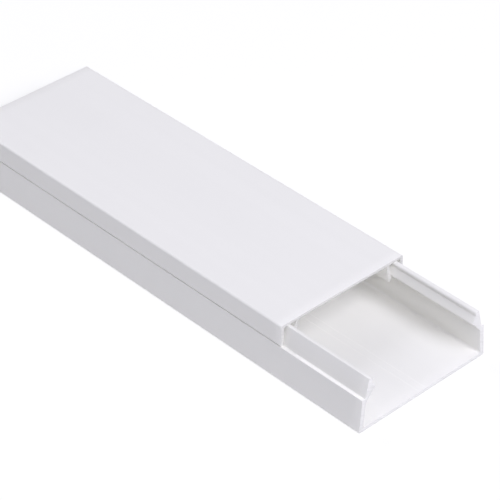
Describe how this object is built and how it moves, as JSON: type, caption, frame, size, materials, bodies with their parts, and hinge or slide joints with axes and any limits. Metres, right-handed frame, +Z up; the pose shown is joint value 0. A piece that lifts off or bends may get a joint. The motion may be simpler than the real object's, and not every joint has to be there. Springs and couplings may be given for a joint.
{
  "type": "cord cover raceway",
  "caption": "Flat white PVC cord raceway: a U-shaped base channel with barbed rails and a clip-on cover with skirts and clip legs that slides along them.",
  "frame": {"origin": "centre of the base channel's flat underside", "axes": "+X along the raceway towards the end that the cover leaves bare, +Y across it, +Z up from the underside to the cover"},
  "size_m": [0.205, 0.0598, 0.022],
  "materials": {
    "base_pvc": "satin",
    "cover_pvc": "satin"
  },
  "bodies": {
    "base": {"base_channel": "base_pvc"},
    "cover": {"cover": "cover_pvc"}
  },
  "joints": [
    {"name": "cover_slide", "type": "slide", "parent": "base", "child": "cover", "axis": [1, 0, 0], "range_m": [-0.173, 0.0376]}
  ]
}
